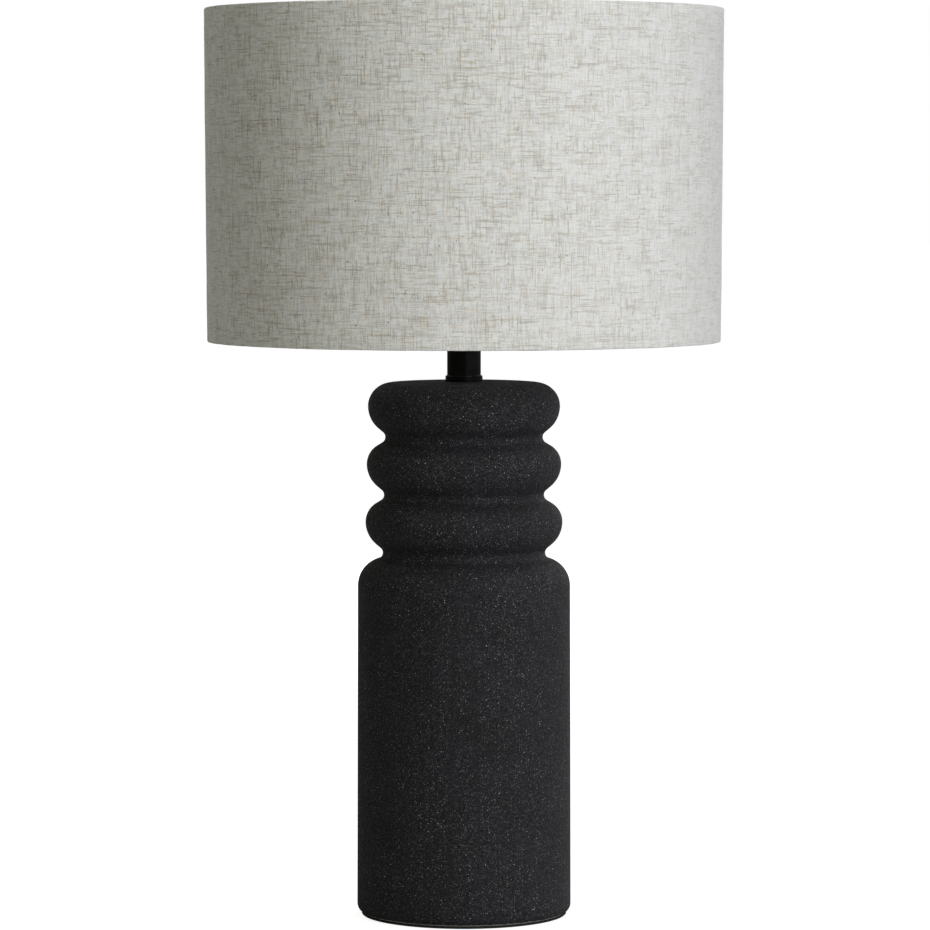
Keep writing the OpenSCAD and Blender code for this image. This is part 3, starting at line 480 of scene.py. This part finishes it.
def shade_fabric():
    """The linen, round the drum and turned in over both rings, with its lap at the back."""
    path, section = cloth_path(), seam_section()
    rows_in_hem = HEM_STEPS + FOLD_STEPS + CORNER_STEPS + 1

    def point(row, column):
        r, z, nr, nz = path[row]
        along, lift = section[column]
        angle = along / SHADE_R
        edge = min(row, len(path) - 1 - row)
        # the lap is pressed thin where it is turned in
        lift *= 0.25 + 0.75 * min(1.0, max(0.0, (edge - rows_in_hem) / 4))
        spot = Vector((math.sin(angle) * 9, math.cos(angle) * 9, z * 40))
        ripple = noise.noise(spot) * 0.16 * MM + noise.noise(spot * 3.1) * 0.05 * MM
        fade = min(1.0, edge / 12)
        off = lift + ripple * fade
        # the cut edges of the hems run a little unevenly
        drift = 0.0
        if edge == 0:
            drift = noise.noise(Vector((math.sin(angle) * 30, math.cos(angle) * 30, row == 0))) * 0.5 * MM
        r2 = r + nr * off
        z2 = z + nz * off + (drift if row == 0 else -drift)
        # the seam is at the back, +Y
        return (r2 * math.sin(angle), r2 * math.cos(angle), z2)

    ups, arounds = running(0.0, path), running(section[0][0], section)
    flat = [(around, up) for up in ups for around in arounds]
    piece = add_mesh("shade_fabric", sweep((len(path), len(section)), point, closed_around=False),
                     flat=flat)
    thick = piece.modifiers.new("cloth", "SOLIDIFY")
    thick.thickness, thick.offset = CLOTH_T, 0.0
    return piece


fabric = finish_piece(shade_fabric(), "shade", LINEN, "oatmeal_linen", "shade_cloth")


# ---------------------------------------------------------------- turned and threaded pieces

def turned(name, outline, thread, columns=96, closed=True):
    """A piece turned about the lamp's axis, with a right-hand thread rolled into it.
    outline goes up the outside as (radius, height); thread is (start, end, pitch, depth)."""
    start, end, pitch, depth = thread
    loop = outline + outline[:1] if closed else outline
    rows = []
    for (r0, z0), (r1, z1) in zip(loop, loop[1:]):
        count = max(1, math.ceil(abs(z1 - z0) / (pitch / 12))) if abs(z1 - z0) > pitch else 1
        rows += [(r0 + (r1 - r0) * i / count, z0 + (z1 - z0) * i / count) for i in range(count)]
    if not closed:
        rows.append(outline[-1])

    def point(row, column):
        r, z = rows[row]
        angle = TAU * column / columns
        fade = min(max((z - start) / pitch, 0), 1) * min(max((end - z) / pitch, 0), 1)
        r -= depth * fade * (0.5 - 0.5 * math.cos(TAU * z / pitch - angle))
        return (r * math.cos(angle), r * math.sin(angle), z)

    return add_mesh(name, sweep((len(rows), columns), point, closed_rows=closed), sharp=40)


def bulb_thread():
    """The bulb's thin metal cap."""
    low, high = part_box("bulb_cap")
    r, z, top = high.x, low.z, high.z
    hole, t = 9.5 * MM, 0.33 * MM
    outline = [(hole, z), (11.0 * MM, z), (r - 0.95 * MM, z + 0.4 * MM), (r - 0.25 * MM, z + 1.2 * MM),
               (r, z + 2.2 * MM), (r, top), (r - t, top), (r - t, z + 2.4 * MM),
               (r - t - 0.25 * MM, z + 1.4 * MM), (r - 1.3 * MM, z + 0.7 * MM), (10.9 * MM, z + t),
               (hole, z + t)]
    return turned("bulb_cap_rolled", outline, (z + 1.6 * MM, top - 1.6 * MM, EDISON_PITCH, 0.75 * MM))


def socket_thread():
    """The socket's thin screw shell."""
    low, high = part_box("screw_shell")
    z, top = low.z, high.z
    bore = reach("screw_shell", top - 1.2 * MM, top - 0.8 * MM, inner=True)
    hole, depth, t = 7.5 * MM, 0.65 * MM, 0.35 * MM
    r = bore + depth + t
    outline = [(hole, z), (r - 1.2 * MM, z), (r - 0.35 * MM, z + 0.35 * MM), (r, z + 1.2 * MM),
               (r, top - 1.0 * MM), (r + 0.1 * MM, top), (r + 0.1 * MM - t, top), (r - t, top - 1.0 * MM),
               (r - t, z + 1.3 * MM), (r - t - 0.25 * MM, z + 0.75 * MM), (r - 1.3 * MM, z + t), (hole, z + t)]
    return turned("screw_shell_rolled", outline, (z + 1.0 * MM, top - 0.8 * MM, EDISON_PITCH, depth))


def stud_thread():
    """The harp's stud: a rivet head under the harp, a disc over it, and the threaded stud."""
    low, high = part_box("harp_stud")
    disc = high.x
    points = [(math.hypot(v.co.x, v.co.y), v.co.z) for v in NODES["harp_stud"].data.vertices]
    seat = max(z for r, z in points if r > disc - 0.1 * MM)
    under = min(z for r, z in points if r > disc - 0.1 * MM)
    stud = reach("harp_stud", high.z - 2 * MM)
    rivet = reach("harp_stud", high=under - 0.5 * MM)
    rivet_top = max(z for r, z in points if abs(r - rivet) < 0.02 * MM)
    pin = reach("harp_stud", rivet_top - 0.1 * MM, under, inner=True)
    outline = [(0, low.z), (rivet - 1.2 * MM, low.z), (rivet - 0.3 * MM, low.z + 0.35 * MM),
               (rivet, low.z + 1.0 * MM), (rivet, rivet_top), (pin, rivet_top), (pin, under),
               (disc - 0.3 * MM, under), (disc, under + 0.3 * MM), (disc, seat - 0.3 * MM),
               (disc - 0.3 * MM, seat), (stud, seat), (stud, high.z - 0.7 * MM), (stud - 0.7 * MM, high.z),
               (0, high.z)]
    thread = (seat + 0.5 * MM, high.z - 0.2 * MM, 0.94 * MM, 0.45 * MM)
    return turned("harp_stud_threaded", outline, thread, columns=48, closed=False)


finish_piece(bulb_thread(), "bulb", BULB_NICKEL, "bulb_nickel", "bulb_cap")
finish_piece(socket_thread(), "base", CONTACT, "contact_brass", "screw_shell")
finish_piece(stud_thread(), "harp_stud", NICKEL, "nickel_plate", "harp_stud")


def slotted_screw():
    """The thumb screw in the socket's cap, which points backwards: a shank and a head with a slot."""
    low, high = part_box("cap_set_screw")
    centre = (low.z + high.z) / 2
    head = (high.z - low.z) / 2
    shank = head - 0.7 * MM
    face, floor = high.y, high.y - 0.7 * MM
    back = high.y - 1.6 * MM
    half_slot = 0.45 * MM
    outline = [(0, low.y), (shank - 0.3 * MM, low.y), (shank, low.y + 0.3 * MM), (shank, back),
               (head - 0.2 * MM, back), (head, back + 0.2 * MM), (head, floor), (0, floor)]
    columns, half_columns = 32, 14

    def round_point(row, column):
        r, y = outline[row]
        angle = TAU * column / columns
        return (r * math.cos(angle), y, centre + r * math.sin(angle))

    parts = [sweep((len(outline), columns), round_point)]
    for side in (-1, 1):
        def half_point(row, column):
            inset, y = ((0, floor - 0.1 * MM), (0, face - 0.25 * MM), (0.25 * MM, face))[row]
            r = head - inset
            opening = math.acos((half_slot + inset * 0.4) / r)
            angle = opening * (2 * column / (half_columns - 1) - 1)
            return (side * r * math.cos(angle), y, centre + r * math.sin(angle))
        parts.append(sweep((3, half_columns), half_point, caps=True))
    return add_mesh("cap_set_screw_slotted", *parts, sharp=30)


finish_piece(slotted_screw(), "base", ZINC, "zinc_steel", "cap_set_screw")


# ---------------------------------------------------------------- joints in the shade's frame

def bead(spot, turn, size, seed):
    """A lump of weld under paint: spot, its turn about the vertical, and its three half sizes."""
    rows, columns = 9, 14

    def point(row, column):
        up, round_it = math.pi * (row / (rows - 1) - 0.5), TAU * column / columns
        v = Vector((size[0] * math.cos(up) * math.cos(round_it),
                    size[1] * math.cos(up) * math.sin(round_it), size[2] * math.sin(up)))
        v *= 1 + 0.10 * noise.noise(v * 700 + Vector((seed, 0, 0)))
        v.rotate(Euler((0, 0, turn)))
        return v + spot

    return sweep((rows, columns), point)


def spider_welds():
    """Welds between the spider's arms, its washer and its ring."""
    low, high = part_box("shade_spider")
    wire = 1.6 * MM
    ring_r = high.x - wire
    ring_z = high.z - wire
    hub_top = low.z + 2 * MM
    parts = []
    for arm in range(3):
        turn = math.radians(90 + 120 * arm)
        out = Vector((math.cos(turn), math.sin(turn), 0))
        side = Vector((-math.sin(turn), math.cos(turn), 0))
        for hand in (-1, 1):
            spot = out * 12.0 * MM + side * hand * 1.35 * MM + Vector((0, 0, hub_top + 0.1 * MM))
            parts.append(bead(spot, turn, (1.5 * MM, 0.8 * MM, 0.6 * MM), arm * 3 + hand))
        spot = out * ring_r + Vector((0, 0, ring_z - wire))
        parts.append(bead(spot, turn, (1.5 * MM, 2.6 * MM, 1.3 * MM), arm + 20))
    return add_mesh("spider_welds", *parts)


def lining_seam():
    """The strip that covers the rear seam of the lining, on its inner face."""
    low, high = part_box("shade_lining")
    bottom = reach("shade_lining", high=low.z + MM, inner=True)
    top = reach("shade_lining", high.z - MM, inner=True)
    rows = 41
    section = [(-6.0, 0.02), (-5.2, 0.22), (-2.0, 0.27), (2.0, 0.27), (5.2, 0.22), (6.0, 0.02)]
    section = [(a * MM, -lift * MM) for a, lift in section] + [(4 * MM, 0.05 * MM), (-4 * MM, 0.05 * MM)]

    def point(row, column):
        share = row / (rows - 1)
        z = low.z + MM + (high.z - low.z - 2 * MM) * share
        along, lift = section[column]
        r = bottom + (top - bottom) * share + lift
        return (r * math.sin(along / r), r * math.cos(along / r), z)

    return add_mesh("lining_seam", sweep((rows, len(section)), point, caps=True), sharp=50)


finish_piece(spider_welds(), "shade", WHITE_WIRE, "white_wire")
finish_piece(lining_seam(), "shade", LINING, "white_lining")


# ---------------------------------------------------------------- stage, lights, camera

WARM, COOL = (1.0, 0.99, 0.88), (0.99, 0.99, 1.07)
AMBIENT = 0.15
LAMP_AWAY, LAMP_AIM = 2.8, Vector((0, 0, 0.35))
# name, degrees round the lamp from the front towards +X, height, size, watts and colour
LAMPS = (
    ("key", 45, 0.8, 1.5, 60, COOL),
    ("front", -8, 0.9, 1.5, 19, WARM),
    ("side", 100, 0.8, 1.5, 3.5, COOL),
    ("back", -156, 0.9, 1.5, 17, WARM),
    ("rear", 160, 0.9, 1.5, 30, COOL),
    ("behind", 181, 0.9, 1.0, 24, COOL),
    ("top", 0, 2.8, 1.5, 9, COOL),
)
LENS_MM, SENSOR_MM = 177.25, 36
CAMERA_AT, CAMERA_DOWN = (0.0007, -3.159, 0.5122), 3.63


def studio():
    """A white floor that keeps the lamp's shadow, a white room, and soft lamps round it."""
    corners = [(x, y, -0.2 * MM) for x, y in ((-30, -30), (30, -30), (30, 30), (-30, 30))]
    floor = add_mesh("floor", (corners, [(0, 1, 2, 3)]))
    look = Look("floor_paper", Base_Color=(0.35, 0.35, 0.35), Roughness=0.9, Specular_IOR_Level=0.0)
    rays = look.add("ShaderNodeLightPath")
    squares = [look.calc("MULTIPLY", side, side) for side in (look.x, look.y)]
    away = look.calc("SQRT", look.calc("ADD", *squares))
    white = look.step(away, 0.5, 2.5, 0.88, 0.97)
    seen = look.calc("MULTIPLY", rays.outputs["Is Camera Ray"], white)
    look.set(Emission_Color=(1, 1, 1), Emission_Strength=seen)
    # seen from below, the floor is clear
    blend = look.add("ShaderNodeMixShader")
    look.put(blend.inputs[0], look.add("ShaderNodeNewGeometry").outputs["Backfacing"])
    look.put(blend.inputs[1], look.shader.outputs[0])
    look.put(blend.inputs[2], look.add("ShaderNodeBsdfTransparent").outputs[0])
    look.put(look.out.inputs["Surface"], blend.outputs[0])
    floor.data.materials.append(look.material)

    world = bpy.data.worlds.new("studio")
    bpy.context.scene.world = world
    sky = Nodes(world, "Generated")
    rays = sky.add("ShaderNodeLightPath").outputs
    around = sky.turn()
    # gloss shows the white room on the right, and a dark one on the left
    right = sky.calc("MULTIPLY", sky.step(around, math.radians(10), math.radians(18)),
                     sky.step(around, math.radians(160), math.radians(176), 1.0, 0.0))
    glossy = sky.calc("MULTIPLY", rays["Is Glossy Ray"], sky.step(right, 0, 1, 0.04, 1.0))
    seen = sky.calc("MAXIMUM", rays["Is Camera Ray"], rays["Is Transmission Ray"])
    seen = sky.calc("MAXIMUM", seen, glossy)
    back = sky.add("ShaderNodeBackground")
    sky.put(back.inputs["Color"], sky.mix(seen, WARM, (1, 1, 1)))
    sky.put(back.inputs["Strength"], sky.calc("MAXIMUM", seen, AMBIENT))
    sky.put(sky.add("ShaderNodeOutputWorld").inputs[0], back.outputs[0])

    for name, turn, height, size, watts, colour in LAMPS:
        lamp = bpy.data.lights.new(name, "AREA")
        lamp.shape, lamp.size, lamp.energy, lamp.color = "SQUARE", size, watts, colour
        obj = bpy.data.objects.new(name, lamp)
        bpy.context.scene.collection.objects.link(obj)
        away = 0 if name == "top" else LAMP_AWAY
        obj.location = (away * math.sin(math.radians(turn)), -away * math.cos(math.radians(turn)), height)
        obj.rotation_euler = (LAMP_AIM - obj.location).to_track_quat("-Z", "Y").to_euler()
        obj.visible_camera = False
        obj.visible_glossy = False


def camera():
    """The photograph's viewing angle."""
    data = bpy.data.cameras.new("camera")
    data.lens, data.sensor_width = LENS_MM, SENSOR_MM
    data.clip_start, data.clip_end = 0.1, 100
    obj = bpy.data.objects.new("camera", data)
    bpy.context.scene.collection.objects.link(obj)
    obj.location = CAMERA_AT
    obj.rotation_euler = (math.radians(90 - CAMERA_DOWN), 0, 0)
    bpy.context.scene.camera = obj


studio()
camera()
bpy.context.scene.view_settings.view_transform = "Standard"
